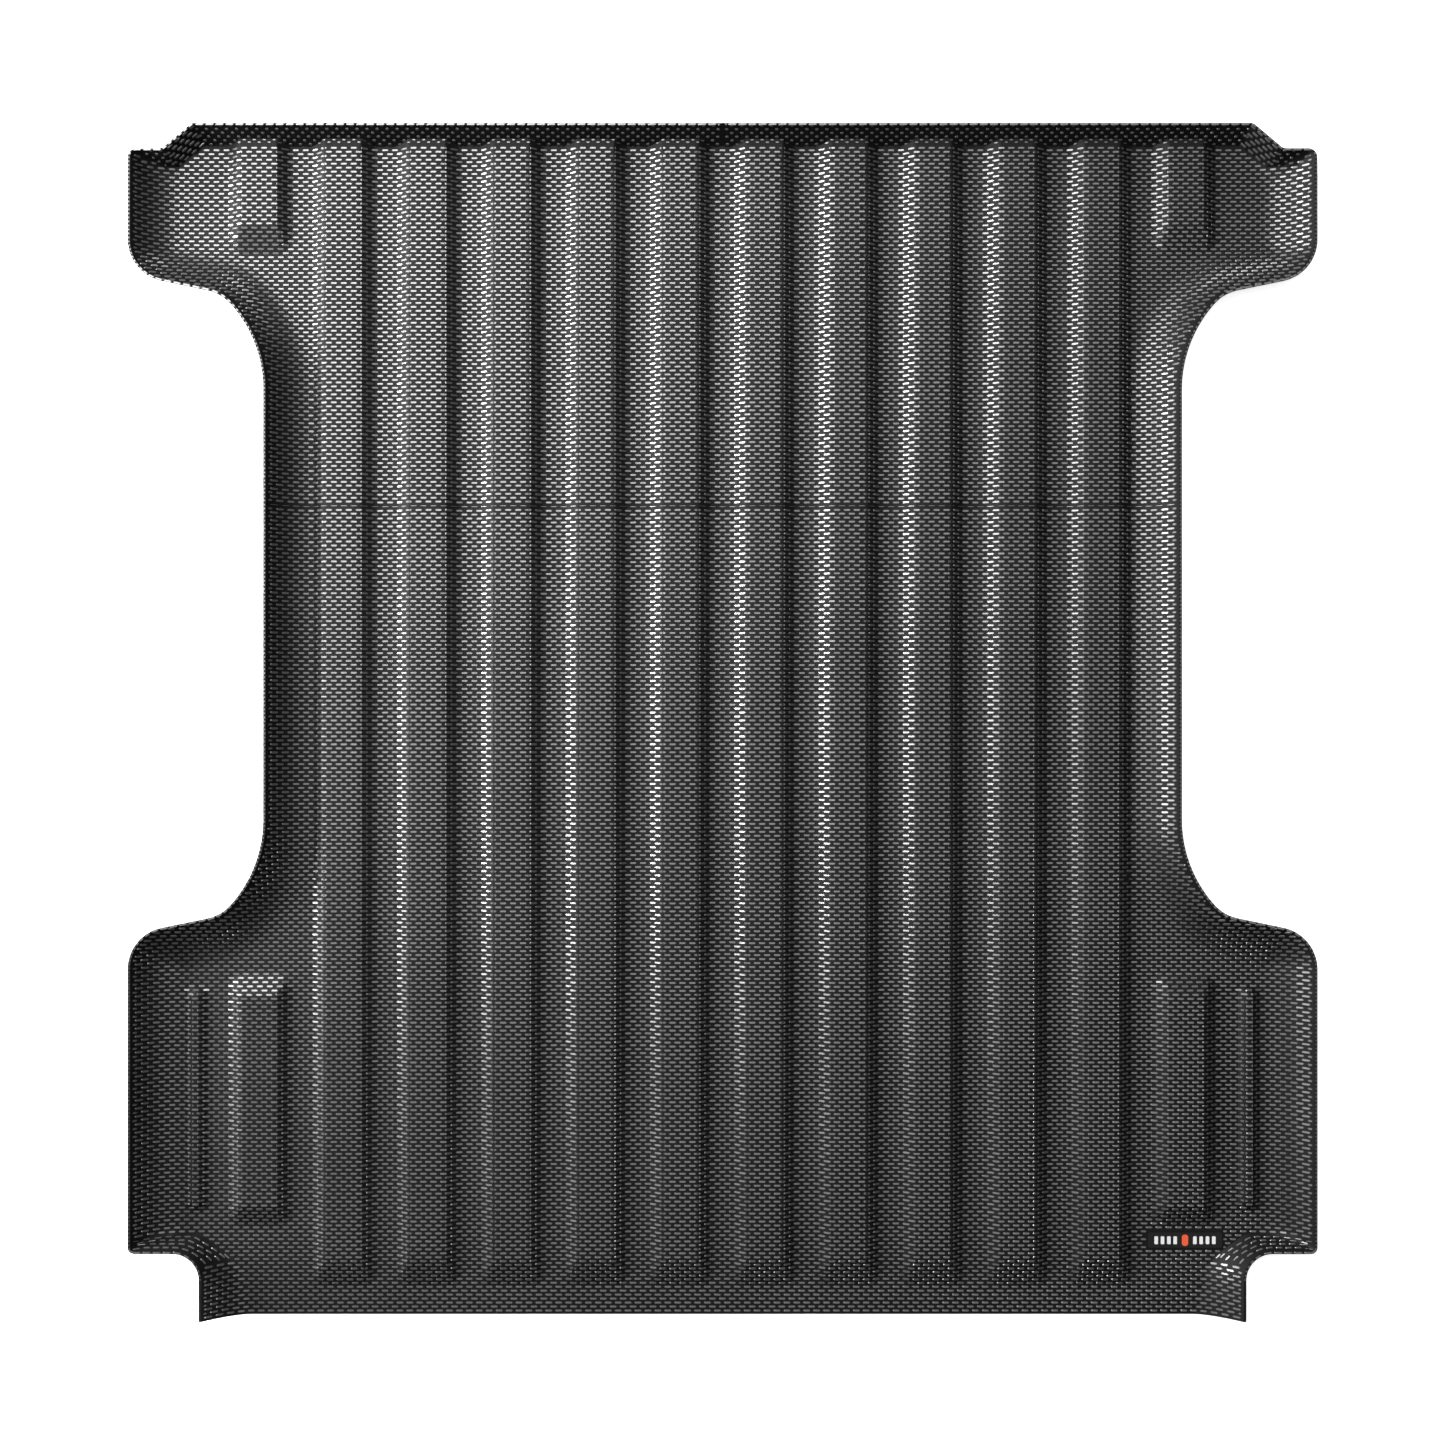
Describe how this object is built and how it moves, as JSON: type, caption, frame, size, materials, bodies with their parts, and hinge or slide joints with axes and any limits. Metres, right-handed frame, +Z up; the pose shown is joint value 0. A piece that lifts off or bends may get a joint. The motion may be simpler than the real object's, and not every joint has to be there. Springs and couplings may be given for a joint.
{
  "type": "truck bed liner",
  "caption": "Formed drop-in floor tray for a pickup bed: lengthwise raised ribs, coved side walls, wheelhouse bulges, a steep front wall, an open tail edge and a small bonded badge.",
  "frame": {"origin": "on the truck bed's floor, under the middle of the tray", "axes": "+Z up, +Y to the cab (front wall), +X to the right seen from above with the cab ahead"},
  "size_m": [1.672, 1.685, 0.0425],
  "materials": {
    "tray_rubber": "satin black with raised dashes",
    "adhesive": "matte",
    "badge_black": "gloss",
    "badge_pale": "satin",
    "badge_orange": "satin"
  },
  "bodies": {
    "root": {"liner_tray": "tray_rubber", "badge_adhesive_film": "adhesive", "badge_plate": "badge_black", "badge_pale_bars": "badge_pale", "badge_accent": "badge_orange"}
  },
  "joints": []
}
